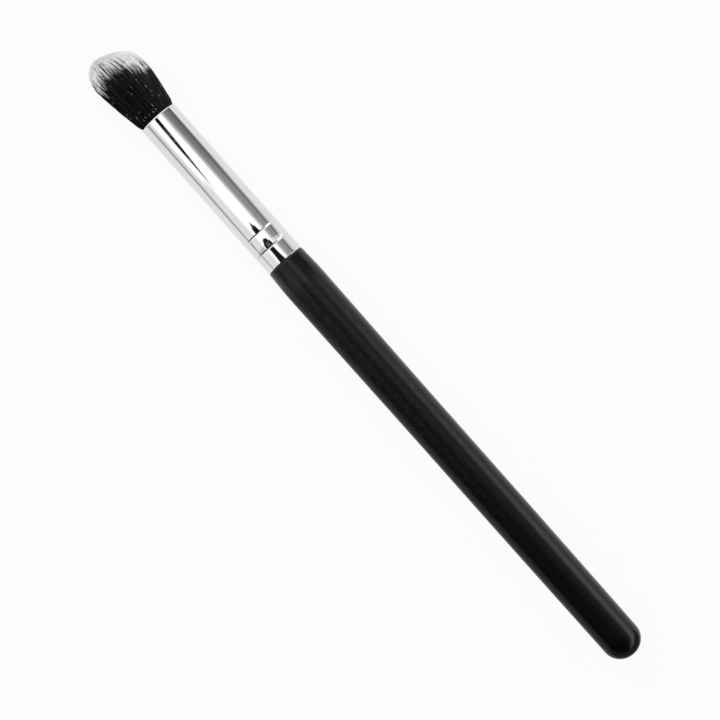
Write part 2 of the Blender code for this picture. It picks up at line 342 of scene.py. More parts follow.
def make_ferrule():
    piece = turn("drawn_ferrule", ferrule_stations())
    at_rim = rear_rim + RIM_ROUND / 50
    select_points(piece, lambda place: place.x < at_rim)
    bpy.ops.mesh.select_mode(type="EDGE")
    bpy.ops.mesh.bridge_edge_loops()
    return finish_turning(piece, sharp_degrees=60)


ferrule = make_ferrule()
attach(ferrule, "root")
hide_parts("ferrule")
print("ferrule:", len(ferrule.data.polygons), "faces")

# %% [markdown]
# The tuft is where the brush is soft. Modelling operators can't draw thousands of hairs, and one
# solid lump would look like a lump, so the hairs are written straight into meshes as thin tubes of
# three sides, each tapering to a point. Every hair starts at the roots deep in the ferrule, is
# drawn in by the tie, leaves the mouth and follows the tuft's outline from there. Black and white
# hairs are mixed all through, and each kind has its own rule for where its hairs end. The white
# ones end on a rounded dome, which is cut on the slant and stands higher on the +Y side. The black
# ones end below it, the outer ones highest on top and underneath, so that dark spikes run up into
# a pale crown.

# %% Shape of the tuft
WHITE_CROWN = {"rim": 15.0 * MM, "slant": 0.8 * MM, "rise": 3.2 * MM, "roundness": 2.6}
BLACK_CROWN = {"rim": 13.4 * MM, "slant": 1.8 * MM, "over": 2.8 * MM, "core_drop": 3.0 * MM}
TUFT_OUTLINE = {
    0.0: 4.12,
    0.4: 4.46,
    1.2: 4.64,
    3.3: 4.97,
    5.4: 5.32,
    7.5: 5.66,
    9.6: 5.94,
    11.0: 5.92,
    12.5: 5.96,
    13.8: 5.68,
    14.9: 5.40,
    15.9: 4.92,
    16.6: 4.50,
    17.2: 4.05,
    17.8: 3.50,
    18.5: 3.00,
}
CROWN_LEAN = {
    9.6: 0.0,
    11.7: 0.20,
    12.7: 0.32,
    13.8: 0.40,
    14.9: 0.50,
    15.9: 0.72,
    17.2: 1.10,
    18.0: 1.30,
}
CORE_TO_SKIN = (0.72, 0.92)
GOLDEN_TURN = math.pi * (3 - math.sqrt(5))
TIED_SHARE = 0.8
NECK_HEIGHT = -1.2 * MM
NECK_SHARE = 0.98
hair_root = span_of("black_bristles")[0] - mouth
tie_front = span_of("binding_thread")[1] - mouth


def outline_radius(height):
    """The tuft's radius at heights above the mouth: tied at the roots, flared out to the belly."""
    inside = {hair_root: TIED_SHARE, tie_front: TIED_SHARE, NECK_HEIGHT: NECK_SHARE}
    heights = list(inside) + [place * MM for place in TUFT_OUTLINE]
    radii = [share * bore_radius for share in inside.values()]
    radii += [radius * MM for radius in TUFT_OUTLINE.values()]
    return np.interp(height, heights, radii)


def lean_of(height):
    """How far the crown has moved towards +Y at heights above the mouth."""
    heights = [place * MM for place in CROWN_LEAN]
    return np.interp(height, heights, [shift * MM for shift in CROWN_LEAN.values()])


def white_ends(spots):
    """Where white hairs end, for their places as shares of the tuft's radius: a slanted dome."""
    away = np.minimum(np.linalg.norm(spots, axis=1), 1)
    rise = WHITE_CROWN["rise"] * np.sqrt(1 - away ** WHITE_CROWN["roundness"])
    return WHITE_CROWN["rim"] + rise + WHITE_CROWN["slant"] * spots[:, 0]


def black_ends(spots):
    """Where black hairs end: the outer ones highest on top and underneath, the inner ones lower."""
    away = np.linalg.norm(spots, axis=1)
    rim = BLACK_CROWN["rim"] + BLACK_CROWN["slant"] * spots[:, 0]
    outer = rim + BLACK_CROWN["over"] * spots[:, 1] ** 2
    return outer - BLACK_CROWN["core_drop"] * (1 - soft_step(away, *CORE_TO_SKIN))


def sunflower(count, draw, wobble):
    """Points spread evenly over a disc, as shares of its radius, each moved a little."""
    index = np.arange(count) + 0.5
    away = np.sqrt(index / count)
    turned = index * GOLDEN_TURN
    spots = np.stack([away * np.cos(turned), away * np.sin(turned)], axis=1)
    spots += draw.normal(0, wobble / math.sqrt(count), spots.shape)
    reach = np.maximum(np.linalg.norm(spots, axis=1), 1)
    return spots / reach[:, None]


def soft_step(value, low, high):
    share = np.clip((value - low) / (high - low), 0, 1)
    return share * share * (3 - 2 * share)


print(f"the hair's roots lie {-hair_root / MM:.1f} mm deep in the ferrule")

# %% [markdown]
# Hair never stands in perfect order. Neighbours stick together in small locks that close towards
# their tips, and every hair wanders a little on its way. Both are worked out for all the hairs at
# once with arrays: the locks by finding the nearest of a few hundred lock centres for each root,
# and the wander as a slow wave with its own phase and direction.

# %% Paths of the hairs
WANDER = 0.08 * MM
WANDER_HEIGHT = 10 * MM
WANDER_MOST = 1.3
WANDER_PACE = (0.35, 0.8)
TABLE_CLEARANCE = 0.12 * MM
INNER_TO_OUTER = (0.72, 0.9)
COMING_UP = (-5.6 * MM, -1.2 * MM)
NEARLY_NOTHING = 1e-6


def laid_out(spots, heights, draw):
    """Points on the X axis for spots in the tuft at heights over the mouth, kept off the table."""
    across = np.maximum(np.linalg.norm(spots, axis=2), NEARLY_NOTHING)
    axis_height = axis_point[2] + (mouth + heights) * axis[2]
    facing_down = np.maximum(-spots[..., 1] / across, NEARLY_NOTHING)
    table = (axis_height - TABLE_CLEARANCE) / facing_down
    radius = outline_radius(heights)
    radius = np.where(heights > 0, np.minimum(radius, table), radius)
    phase = draw.uniform(0, math.tau, (len(spots), 1, 2))
    pace = draw.uniform(*WANDER_PACE, (len(spots), 1, 2)) / MM
    drift = WANDER * np.clip(heights / WANDER_HEIGHT, 0, WANDER_MOST)[..., None]
    wave = drift * np.sin(phase + pace * heights[..., None])
    flat = spots * radius[..., None] + wave
    flat[..., 0] += lean_of(heights)
    return np.concatenate([(mouth + heights)[..., None], flat], axis=2)


def nearest_lock(spots, lock_spots):
    return np.argmin(((spots[:, None] - lock_spots[None]) ** 2).sum(axis=2), axis=1)


def hair_paths(roots, tips, kind, draw):
    """The points of each hair: an array of hairs by steps by three, modelled on the X axis."""
    inside = np.repeat([[hair_root, tie_front, NECK_HEIGHT]], len(roots), axis=0)
    outside = tips[:, None] * np.array(kind["steps"])
    heights = np.concatenate([inside, outside], axis=1)
    away = np.linalg.norm(roots, axis=1)
    inner_pull, outer_pull = kind["lock_pull"]
    pull = inner_pull + (outer_pull - inner_pull) * soft_step(away, *INNER_TO_OUTER)
    before_tip, until = kind["lock_reach"]
    closing = pull[:, None] * soft_step(heights, (tips - before_tip)[:, None], (tips - until)[:, None])
    lock = nearest_lock(roots, kind["locks"])
    centres = kind["locks"][lock]
    spots = roots[:, None] * (1 - closing[..., None]) + centres[:, None] * closing[..., None]
    cover = black_ends(roots / np.maximum(away, NEARLY_NOTHING)[:, None])[:, None]
    early = kind["early"] * draw.uniform(0, 1, len(kind["locks"]))[lock, None] ** 3
    depth = 1 - kind["sunk"] * (1 - soft_step(heights - cover + early, *COMING_UP))
    return laid_out(spots * depth[..., None], heights, draw)


print(f"hairs wander up to {WANDER * WANDER_MOST / MM:.2f} mm from their way")

# %% [markdown]
# A path becomes a hair when it gets a skin. Curves with a round bevel would do that, but many
# thousand curves are slow to turn into meshes. So the skin is worked out with arrays as well: a
# ring of three points at each step, faces from ring to ring, one face over the root, and a single
# point at the tip. Each hair also gets its tone here, kept as an attribute of its points.

# %% Meshes of the hairs
HAIR_SIDES = 3


def hair_mesh(name, paths, widths, tones):
    """One mesh of thin tubes along the paths, with a tone for each hair kept as an attribute."""
    hairs, steps, _ = paths.shape
    forward = np.gradient(paths, axis=1)
    forward /= np.linalg.norm(forward, axis=2, keepdims=True)
    side = np.cross(forward, [0.0, 0.0, 1.0])
    side /= np.linalg.norm(side, axis=2, keepdims=True)
    up = np.cross(side, forward)
    turns = math.tau * np.arange(HAIR_SIDES) / HAIR_SIDES
    ring = side[:, :, None] * np.cos(turns)[:, None] + up[:, :, None] * np.sin(turns)[:, None]
    rings = paths[:, :-1, None] + ring[:, :-1] * widths[:, :-1, None, None]
    per_hair = (steps - 1) * HAIR_SIDES + 1
    points = np.concatenate([rings.reshape(hairs, -1, 3), paths[:, -1:]], axis=1)
    corner = np.arange(HAIR_SIDES)
    after = (corner + 1) % HAIR_SIDES
    faces = []
    for step in range(steps - 2):
        low, high = step * HAIR_SIDES, (step + 1) * HAIR_SIDES
        faces.append(np.stack([low + corner, high + corner, high + after, low + after], axis=1))
    quads = (np.arange(hairs)[:, None, None] * per_hair + np.concatenate(faces)).reshape(-1, 4)
    last = (steps - 2) * HAIR_SIDES
    point = np.full(HAIR_SIDES, per_hair - 1)
    tip = np.stack([last + corner, point, last + after], axis=1)
    foot = corner[None]
    triangles = (np.arange(hairs)[:, None, None] * per_hair + np.concatenate([tip, foot])).reshape(-1, 3)
    mesh = bpy.data.meshes.new(name)
    mesh.from_pydata(points.reshape(-1, 3), [], quads.tolist() + triangles.tolist())
    mesh.shade_smooth()
    tone = mesh.attributes.new("tone", "FLOAT", "POINT")
    tone.data.foreach_set("value", np.repeat(tones, per_hair).astype(np.float32))
    piece = bpy.data.objects.new(name, mesh)
    bpy.context.scene.collection.objects.link(piece)
    return lay_down(piece)


def tapered(paths, root_width, tip_width, length):
    """Half widths along each hair: even at first, then drawn out to its tip over the last stretch."""
    height = paths[:, :, 0]
    share = np.clip((height - height[:, -1:] + length) / length, 0, 1)
    return root_width + (tip_width - root_width) * share


print("each hair is a tube of", HAIR_SIDES, "sides")

# %% [markdown]
# The black hairs are thicker. Their locks close to spikes over the last few millimetres, which is
# what draws the dark streaks into the pale crown. The white ones are finer and there are more of
# them. Low down they keep a little below the surface, hidden by the black ones, and they come up
# to it as the black tips near, some locks sooner than others. Here and there a short stretch of
# white hair comes to the surface between the black ones and shows as a bright fleck. Each kind is
# split into a few meshes, so that none grows too heavy to be saved whole.

# %% Black and white hairs
draw = np.random.default_rng(11)
ROOT_WOBBLE = 0.6
LOCK_WOBBLE = 0.8
LOCK_LIMITS = (-2, 0.6)
BLACK_HAIR = {
    "count": 6800,
    "half_width": 0.046 * MM,
    "tip_half_width": 0.022 * MM,
    "steps": [0.0, 0.12, 0.32, 0.52, 0.70, 0.86, 1.0],
    "locks": sunflower(950, draw, LOCK_WOBBLE),
    "lock_pull": (0.86, 0.86),
    "lock_reach": (6.0 * MM, 1.0 * MM),
    "lock_spread": 1.5 * MM,
    "hair_spread": 0.5 * MM,
    "taper": 2.8 * MM,
    "sunk": 0.0,
    "early": 0.0,
}
WHITE_HAIR = {
    "count": 11100,
    "half_width": 0.033 * MM,
    "tip_half_width": 0.018 * MM,
    "steps": [0.0, 0.42, 0.66, 0.80, 0.90, 0.96, 1.0],
    "locks": sunflower(480, draw, LOCK_WOBBLE),
    "lock_pull": (0.12, 0.35),
    "lock_reach": (4.5 * MM, 0.4 * MM),
    "lock_spread": 0.18 * MM,
    "hair_spread": 0.26 * MM,
    "taper": 4.6 * MM,
    "sunk": 0.12,
    "early": 3.6 * MM,
}
FLECKS = {
    "count": 64,
    "half_width": 0.022 * MM,
    "depth": (0.990, 1.008),
    "lowest": 0.8 * MM,
    "spread": 8.2 * MM,
    "reach": (0.06 * MM, 0.20 * MM),
    "arc": np.array([0.985, 0.998, 1.002, 0.998, 0.985]),
    "arc_ends": (-1.5, 1.5),
    "tone": (0.4, 1),
}


def hair_of(kind, ends_at, draw):
    """Paths, half widths and tones of all the hairs of one kind."""
    roots = sunflower(kind["count"], draw, ROOT_WOBBLE)
    lock = nearest_lock(roots, kind["locks"])
    lock_height = np.clip(draw.normal(0, 1, len(kind["locks"])), *LOCK_LIMITS)[lock]
    own_height = -np.abs(draw.normal(0, kind["hair_spread"], kind["count"]))
    tips = ends_at(roots) + kind["lock_spread"] * lock_height + own_height
    paths = hair_paths(roots, tips, kind, draw)
    widths = tapered(paths, kind["half_width"], kind["tip_half_width"], kind["taper"])
    return paths, widths, draw.uniform(0, 1, kind["count"])


def flecks(kind, draw):
    """Short arcs of white hair that come up between the black ones, some of them only halfway."""
    count = kind["count"]
    turned = draw.uniform(0, math.tau, count)
    depth = draw.uniform(*kind["depth"], count)
    spots = np.stack([depth * np.cos(turned), depth * np.sin(turned)], axis=1)
    middle = kind["lowest"] + kind["spread"] * draw.permutation(count) / count
    reach = draw.uniform(*kind["reach"], count)
    arc = kind["arc"]
    heights = middle[:, None] + reach[:, None] * np.linspace(*kind["arc_ends"], len(arc))
    paths = laid_out(spots[:, None] * arc[:, None], heights, draw)
    widths = np.full(heights.shape, kind["half_width"])
    return paths, widths, draw.uniform(*kind["tone"], count)


black = hair_of(BLACK_HAIR, black_ends, draw)
white = hair_of(WHITE_HAIR, white_ends, draw)
hair_pieces = [
    (hair_mesh("black_hair_a", *[part[0::2] for part in black]), "black_bristles", "black_fibre"),
    (hair_mesh("black_hair_b", *[part[1::2] for part in black]), "black_bristles", "black_fibre"),
    (hair_mesh("white_hair_a", *[part[0::3] for part in white]), "white_bristles", "white_fibre"),
    (hair_mesh("white_hair_b", *[part[1::3] for part in white]), "white_bristles", "white_fibre"),
    (hair_mesh("white_hair_c", *[part[2::3] for part in white]), "white_bristles", "white_fibre"),
    (hair_mesh("white_flecks", *flecks(FLECKS, draw)), "white_bristles", "white_fibre"),
]
for piece, node, slot in hair_pieces:
    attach(piece, "root")
    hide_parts(node)
    print(piece.name, sum(len(face.vertices) - 2 for face in piece.data.polygons), "triangles")

# %% [markdown]
# A finish is a small program of nodes. Wiring it by hand in code is long and hides the idea, so a
# small class wraps an output socket and lets plain arithmetic add the Math nodes. Everything else
# comes from one method that takes a node's type, its settings and what goes into its sockets.

# %% Shader maths
class Wire:
    """An output socket that can be used in plain arithmetic."""

    def __init__(self, tree, socket):
        self.tree = tree
        self.socket = socket

    def maths(self, operation, first, second=0.0):
        return self.tree.node("ShaderNodeMath", {"operation": operation}, {0: first, 1: second})

    def __add__(self, other):
        return self.maths("ADD", self, other)

    def __radd__(self, other):
        return self.maths("ADD", other, self)

    def __sub__(self, other):
        return self.maths("SUBTRACT", self, other)

    def __rsub__(self, other):
        return self.maths("SUBTRACT", other, self)

    def __mul__(self, other):
        return self.maths("MULTIPLY", self, other)

    def __rmul__(self, other):
        return self.maths("MULTIPLY", other, self)

    def __pow__(self, other):
        return self.maths("POWER", self, other)

    def __gt__(self, other):
        return self.maths("GREATER_THAN", self, other)

    def most(self, other):
        return self.maths("MAXIMUM", self, other)

    def least(self, other):
        return self.maths("MINIMUM", self, other)

    def size(self):
        return self.maths("ABSOLUTE", self)


class Tree:
    """A node tree of a material or of the world, cleared and ready to be built."""

    def __init__(self, owner, output_type):
        owner.use_nodes = True
        self.nodes = owner.node_tree.nodes
        self.links = owner.node_tree.links
        self.nodes.clear()
        self.output = self.nodes.new(output_type)

    def node(self, kind, settings=None, values=None, output=0):
        made = self.nodes.new(kind)
        for name, setting in (settings or {}).items():
            setattr(made, name, setting)
        for name, value in (values or {}).items():
            self.feed(made.inputs[name], value)
        return Wire(self, made.outputs[output])

    def feed(self, socket, value):
        if isinstance(value, Wire):
            self.links.new(value.socket, socket)
        else:
            socket.default_value = value

    def finish(self, shader):
        self.links.new(shader.socket, self.output.inputs["Surface"])

    def profile(self, value, stops):
        """A level that follows straight lines between stops of a place and a level."""
        total = stops[0][1]
        for (low, before), (high, after) in zip(stops, stops[1:]):
            if after != before:
                limits = {"Value": value, "From Min": low, "From Max": high, "To Max": after - before}
                total = total + self.node("ShaderNodeMapRange", None, limits)
        return total

    def rise(self, value, low, high):
        """0 below low, 1 above high, and a soft step between them."""
        settings = {"interpolation_type": "SMOOTHSTEP"}
        return self.node("ShaderNodeMapRange", settings, {"Value": value, "From Min": low, "From Max": high})

    def mix_colours(self, share, first, second):
        values = {0: share, 6: first, 7: second}
        return self.node("ShaderNodeMix", {"data_type": "RGBA"}, values, output=2)

    def principled(self, values):
        return self.node("ShaderNodeBsdfPrincipled", None, values)

    def bump(self, strength, distance, height):
        values = {"Strength": strength, "Distance": distance, "Height": height}
        return self.node("ShaderNodeBump", None, values)

    def cells(self, place, scale, output=0):
        return self.node("ShaderNodeTexVoronoi", None, {"Vector": place, "Scale": scale}, output)

    def noise(self, place, scale, detail=2.0, roughness=0.5):
        values = {"Vector": place, "Scale": scale, "Detail": detail, "Roughness": roughness}
        return self.node("ShaderNodeTexNoise", None, values)

    def is_ray(self, kind):
        return self.node("ShaderNodeLightPath", output=f"Is {kind} Ray")

    def stretched(self, place, scale):
        return self.node("ShaderNodeMapping", None, {"Vector": place, "Scale": scale})


def material_tree(name):
    made = bpy.data.materials.new(name)
    return made, Tree(made, "ShaderNodeOutputMaterial")


def own_place(tree):
    return tree.node("ShaderNodeTexCoord", output="Object")


def wear(piece, material):
    piece.data.materials.clear()
    piece.data.materials.append(material)
    print(piece.name, "wears", material.name)


# %% [markdown]
# The lacquer is sprayed and rubbed down, so it is black with a soft sheen. Close up it isn't even:
# the wood's grain still stands a little under the coat, the spray left a slight orange peel, the
# sheen changes from place to place, and a few dust specks were caught in it. Grain and peel are
# noises that are drawn out along the handle, the grain much further than the peel.

# %% Lacquer of the handle
GRAIN_SCALE = (60, 900, 900)
PEEL_SCALE = (500, 1400, 1400)
MOTTLE_SCALE = 420.0
DUST_SCALE = 900.0
DUST_EDGE = (0.05, 0.09)
DUST_COLOUR = (0.03, 0.03, 0.03, 1)
LACQUER_TONES = ((0.0010, 0.0010, 0.0011, 1), (0.0015, 0.0015, 0.0015, 1))


def black_lacquer():
    made, tree = material_tree("black_lacquer")
    place = own_place(tree)
    grain = tree.noise(tree.stretched(place, GRAIN_SCALE), 1.0, detail=1.0)
    peel = tree.noise(tree.stretched(place, PEEL_SCALE), 1.0, detail=1.0)
    mottle = tree.noise(place, MOTTLE_SCALE, detail=3.0)
    dust = 1 - tree.rise(tree.cells(place, DUST_SCALE), *DUST_EDGE)
    colour = tree.mix_colours(mottle, *LACQUER_TONES)
    shader = tree.principled({
        "Base Color": tree.mix_colours(dust * 0.15, colour, DUST_COLOUR),
        "Roughness": 0.145 + mottle * 0.025 + grain * 0.02,
        "Specular IOR Level": 0.32,
        "Normal": tree.bump(1.0, 0.02 * MM, grain * 0.2 + peel + dust * 0.05),
    })
    tree.finish(shader)
    return made


wear(handle, black_lacquer())

# %% [markdown]
# The ferrule is plated and buffed. A perfect mirror would look like a drawing, so it has what a
# real tube has: hair-fine lines along it from the drawing, a slow unevenness that bends the
# reflections a little, and faint smudges that make it a touch duller and less sharp.

# %% Mirror metal of the ferrule
LINE_SCALE = (30, 2600, 2600)
WAVE_SCALE = (90, 260, 260)
SMUDGE_SCALE = 230.0
SMUDGE_EDGE = (0.45, 0.75)
METAL_TONES = ((0.745, 0.745, 0.75, 1), (0.70, 0.70, 0.705, 1))


def mirror_metal():
    made, tree = material_tree("mirror_metal")
    place = own_place(tree)
    lines = tree.noise(tree.stretched(place, LINE_SCALE), 1.0, detail=3.0, roughness=0.6)
    waves = tree.noise(tree.stretched(place, WAVE_SCALE), 1.0, detail=1.0)
    smudge = tree.rise(tree.noise(place, SMUDGE_SCALE, detail=4.0, roughness=0.6), *SMUDGE_EDGE)
    shader = tree.principled({
        "Base Color": tree.mix_colours(smudge, *METAL_TONES),
        "Metallic": 1.0,
        "Roughness": 0.012 + smudge * 0.03 + lines * 0.01,
        "Normal": tree.bump(0.05, 0.01 * MM, lines * 0.3 + waves * 2.0),
    })
    tree.finish(shader)
    return made


wear(ferrule, mirror_metal())

# %% [markdown]
# The fibres are thin plastic. The black ones shine a little along their length, small pale spots
# are dotted over their colour, and a few pale fibres show between them as specks. The white ones
# are slightly translucent, which a little subsurface colour would give at a high price, so they are
# simply bright and soft. Each hair has its own tone, stored in the mesh, which keeps the tuft from
# looking like one surface.

# %% Fibres
SPECK_SCALE = (1100, 2600, 2600)
SPECK_EDGE = (0.2, 0.4)
SPECKLESS_SHARE = 0.95
SPECK_STRENGTH = 0.45
SPECK_COLOUR = (0.35, 0.35, 0.34, 1)
BLACK_FIBRE_TONES = ((0.0012, 0.0012, 0.0013, 1), (0.022, 0.022, 0.023, 1))
WHITE_FIBRE_TONES = ((0.76, 0.76, 0.755, 1), (0.88, 0.88, 0.875, 1))


def tone_of_hair(tree):
    return tree.node("ShaderNodeAttribute", {"attribute_name": "tone"}, output="Fac")


def black_fibre():
    made, tree = material_tree("black_fibre")
    place = tree.stretched(own_place(tree), SPECK_SCALE)
    tone = tone_of_hair(tree)
    chance = tree.cells(place, 1.0, output="Color")
    picked = tree.node("ShaderNodeSeparateColor", None, {"Color": chance}) > SPECKLESS_SHARE
    pale = picked * (1 - tree.rise(tree.cells(place, 1.0), *SPECK_EDGE)) * SPECK_STRENGTH
    base = tree.mix_colours(tone**3, *BLACK_FIBRE_TONES)
    shader = tree.principled({
        "Base Color": tree.mix_colours(pale, base, SPECK_COLOUR),
        "Roughness": 0.34 + tone * 0.18,
        "Specular IOR Level": 0.22,
    })
    tree.finish(shader)
    return made


def white_fibre():
    made, tree = material_tree("white_fibre")
    tone = tone_of_hair(tree)
    shader = tree.principled({
        "Base Color": tree.mix_colours(tone, *WHITE_FIBRE_TONES),
        "Roughness": 0.42 + tone * 0.12,
    })
    tree.finish(shader)
    return made


fibres = {"black_fibre": black_fibre(), "white_fibre": white_fibre()}
for piece, _, slot in hair_pieces:
    wear(piece, fibres[slot])

# %% [markdown]
# Three pieces stay as they were built, hidden in the ferrule: the two bodies of glue and the tie.
# They still get finishes of their own, for whoever cuts the brush open: cloudy amber resin, and
# thread whose turns run round the knot.

# %% Glue and thread
CLOUD_SCALE = 900.0
RESIN_TONES = ((0.62, 0.50, 0.26, 1), (0.86, 0.78, 0.56, 1))
TURN_SCALE = 1300.0
THREAD_TONES = ((0.42, 0.40, 0.35, 1), (0.78, 0.76, 0.70, 1))


def clear_glue():
    made, tree = material_tree("clear_glue")
    cloud = tree.noise(own_place(tree), CLOUD_SCALE, detail=4.0, roughness=0.6)
    shader = tree.principled({
        "Base Color": tree.mix_colours(cloud, *RESIN_TONES),
        "Roughness": 0.18 + cloud * 0.2,
    })
    tree.finish(shader)
    return made


def binding_thread():
    made, tree = material_tree("binding_thread")
    turns = tree.node(
        "ShaderNodeTexWave",
        {"wave_type": "BANDS", "bands_direction": "X"},
        {"Vector": own_place(tree), "Scale": TURN_SCALE, "Distortion": 0.6},
    )
    shader = tree.principled({
        "Base Color": tree.mix_colours(turns, *THREAD_TONES),
        "Roughness": 0.85,
        "Normal": tree.bump(0.6, 0.05 * MM, turns),
    })
    tree.finish(shader)
    return made


glue = clear_glue()
for node in ("handle_glue", "root_glue"):
    wear(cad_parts[node], glue)
wear(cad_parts["binding_thread"], binding_thread())

# %% [markdown]
# The floor is a plain white sheet. The camera and whatever mirrors it see it as clean white, and
# the rest of its answer is that of a matt sheet under the lamp, which keeps a faint shadow under
# the brush. Only what the lacquer mirrors of it gets painted shade, beside the handle and past its
# butt, as two dark cards just outside the picture would give. That keeps the handle's far edge dark.

# %% Floor
FLOOR_SIZE = 6.0
FLOOR_GLOW = 0.94
SHEET_GREY = (0.4, 0.4, 0.4, 1)
WHITE = (1, 1, 1, 1)
BLACK = (0, 0, 0, 1)
# Painted shade: what glossy rays see of the sheet is darkened beside the handle and past its butt.
SIDE_MIRROR_SHADE = {"along": (0.020, 0.026), "across": (0.0, 0.003), "shade": 0.55}
BUTT_MIRROR_SHADE = {"along": (-0.089, -0.085), "shade": 0.85}


def white_sheet():
    made, tree = material_tree("white_sheet")
    seen = tree.is_ray("Camera").most(tree.is_ray("Glossy")).most(tree.is_ray("Transmission"))
    matt = tree.node("ShaderNodeBsdfDiffuse", None, {"Color": SHEET_GREY})
    place = {0: own_place(tree)}
    along, across = (tree.node("ShaderNodeSeparateXYZ", None, place, i) for i in range(2))
    # Painted shade for glossy rays only: the sheet mirrors darker beside the handle and past its butt.
    beside_handle = 1 - tree.rise(along, *SIDE_MIRROR_SHADE["along"])
    beside_handle = beside_handle * tree.rise(across, *SIDE_MIRROR_SHADE["across"])
    past_butt = 1 - tree.rise(along, *BUTT_MIRROR_SHADE["along"])
    shade = (SIDE_MIRROR_SHADE["shade"] * beside_handle).most(BUTT_MIRROR_SHADE["shade"] * past_butt)
    colour = tree.mix_colours(shade * tree.is_ray("Glossy"), WHITE, BLACK)
    glow = tree.node("ShaderNodeEmission", None, {"Color": colour, "Strength": 1.0})
    tree.finish(tree.node("ShaderNodeMixShader", None, {0: seen * FLOOR_GLOW, 1: matt, 2: glow}))
    return made


deselect_all()
bpy.ops.mesh.primitive_plane_add(size=FLOOR_SIZE, location=(0, 0, 0))
floor = bpy.context.object
floor.name = "floor"
wear(floor, white_sheet())

# %% [markdown]
# A mirror shows the room, so the room is the finish. Shiny things are photographed among a few
# soft boxes and flats, whose edges draw the shape. Here the room is painted into the world by
# direction, and only for rays that bounced off something glossy. Two numbers say where such a ray
# goes: its side, in degrees from straight up towards -Y, and how far it leans lengthwise, from -1
# at the butt's end to 1 at the tip's.
#
# The ferrule comes first. It sees a bright ceiling, a grey flat on one side and a pale one on the
# other, whose edges slide round a little from the crimps to the mouth. The table gives a level for
# each side, and a few cards and shades change it in places. Every other pair of numbers is a soft
# edge: the side or the lengthwise place where a change starts, and where it is complete.

# %% Room that the ferrule mirrors
ROOM = [
    (-90, 0.90),
    (-85, 0.85),
    (-82, 0.35),
    (-77, 0.35),
    (-73, 0.65),
    (-66, 0.85),
    (-60, 1.00),
    (-50, 0.93),
    (-41, 1.00),
    (-36, 1.25),
    (-31, 1.40),
    (-8, 1.40),
    (6, 1.60),
    (17, 1.60),
    (22, 1.10),
    (28, 0.72),
    (34, 0.50),
    (40, 0.37),
    (47, 0.34),
    (57, 0.34),
    (66, 0.27),
    (73, 0.20),
    (84, 0.27),
    (91, 0.80),
]
DIM_CORNER = {"along": (0.110, 0.126), "side": (36, 48), "share": 0.3}
PALE_CARD = {"along": (0.1125, 0.1155), "from_side": (-57, -50), "to_side": (-40, -33), "level": 0.5}
SLIDE = {"start": 0.130, "degrees": 330, "low_side": (-70, -45), "high_side": (55, 80)}
BEHIND = {"along": (0.0830, 0.0862), "bend": 0.0083}
BEHIND_PALE = {"side": (22, 32), "level": 0.5}
BEHIND_DARK = {"side": (-42, -34), "level": 0.35}
MOUTH_SHADE = {"along": (0.131, 0.150), "side": (-5, 15), "share": 0.45}
LEAST_LIGHT = 0.01
END_WALL = {"along": (0.22, 0.35), "level": 1.25}
TUBE_BEGINS = (0.066, 0.078)


def tube_room(tree, lengthwise, side, height):
    """What the ferrule mirrors: flats and lights all round, and the dark things before them."""
    dimmed = tree.rise(lengthwise, *DIM_CORNER["along"]) * tree.rise(side, *DIM_CORNER["side"])
    card = tree.rise(lengthwise, *PALE_CARD["along"]) * tree.rise(side, *PALE_CARD["from_side"])
    card = card * (1 - tree.rise(side, *PALE_CARD["to_side"]))
    outer = 1 - tree.rise(side, *SLIDE["low_side"]) + tree.rise(side, *SLIDE["high_side"])
    slid = side + (SLIDE["start"] - lengthwise) * SLIDE["degrees"] * outer
    behind = 1 - tree.rise(lengthwise - BEHIND["bend"] * (1 - height), *BEHIND["along"])
    pale = BEHIND_PALE["level"] * behind * tree.rise(side, *BEHIND_PALE["side"])
    dark = BEHIND_DARK["level"] * behind * (1 - tree.rise(side, *BEHIND_DARK["side"]))
    room = tree.profile(slid, ROOM) + PALE_CARD["level"] * card + (pale - dark)
    room = room * (1 - DIM_CORNER["share"] * dimmed)
    shaded = tree.rise(lengthwise, *MOUTH_SHADE["along"])
    shaded = shaded * (1 - tree.rise(side, *MOUTH_SHADE["side"]))
    room = room * (1 - dark_things(tree, lengthwise, side))
    room = room * (1 - MOUTH_SHADE["share"] * shaded) + LEAST_LIGHT
    end_wall = tree.rise(lengthwise, *END_WALL["along"])
    room = room * tree.rise(lengthwise, *TUBE_BEGINS) * (1 - end_wall)
    return room + end_wall * END_WALL["level"]


print("the ferrule's room has", len(ROOM), "levels round it")

# %% [markdown]
# Something dark stands before those lights and draws the ferrule's two black marks: the round hood
# of a camera, with a glint of its lens, and a long wedge. The hood's outline is a half width in
# degrees for each lengthwise place, and the wedge turns across the top, from one side towards the
# other, as it grows. Both have slightly soft edges, like things that are a little out of focus.

# %% Dark marks in the ferrule
CAMERA_HOOD = [
    (0.066, 4),
    (0.0745, 14),
    (0.0775, 21),
    (0.0800, 23),
    (0.0845, 23),
    (0.0875, 19),
    (0.0898, 14),
    (0.0945, 13),
    (0.0975, 0),
    (0.0990, -3),
]
HOOD_SIDE = -9
HOOD_FRONT = 0.0985
FLAG_EDGE = (-0.8, 0.8)
LENS = {"along": (0.0845, 0.0870), "away": (6, 13), "level": 0.08}
WEDGE = {"point": 0.1100, "turn": 790, "side": -28.5, "growth": 740, "half_width": 9.6}
WEDGE_START = 0.107
WEDGE_END = (0.2, 0.22)


